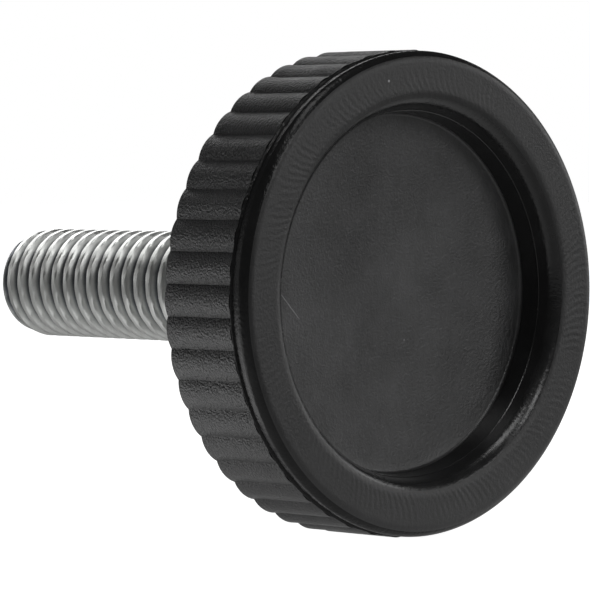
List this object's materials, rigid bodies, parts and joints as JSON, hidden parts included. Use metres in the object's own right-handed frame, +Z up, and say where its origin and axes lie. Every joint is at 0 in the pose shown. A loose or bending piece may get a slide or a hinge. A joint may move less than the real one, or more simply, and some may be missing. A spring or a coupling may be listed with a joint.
{
  "type": "knurled knob",
  "caption": "Round knurled thumb knob with a dished face recess, a smooth front band and a moulded-in threaded stud on its hub.",
  "frame": {"origin": "on the knob's axis at the seat, the ring-shaped end of the hub where the stud leaves it", "axes": "+Y along the stud, away from the head; the recessed face looks along -Y; +Z up and +X to the right seen from in front of the face"},
  "size_m": [0.025, 0.0315, 0.025],
  "materials": {
    "black_moulding": "fine satin grain on the ribs, the face ring and the recess floor, gloss on the front band and the recess wall",
    "zinc_steel": "bright blue-white zinc plating"
  },
  "bodies": {
    "root": {"knob_head": "black_moulding", "threaded_stud": "zinc_steel"}
  },
  "joints": []
}
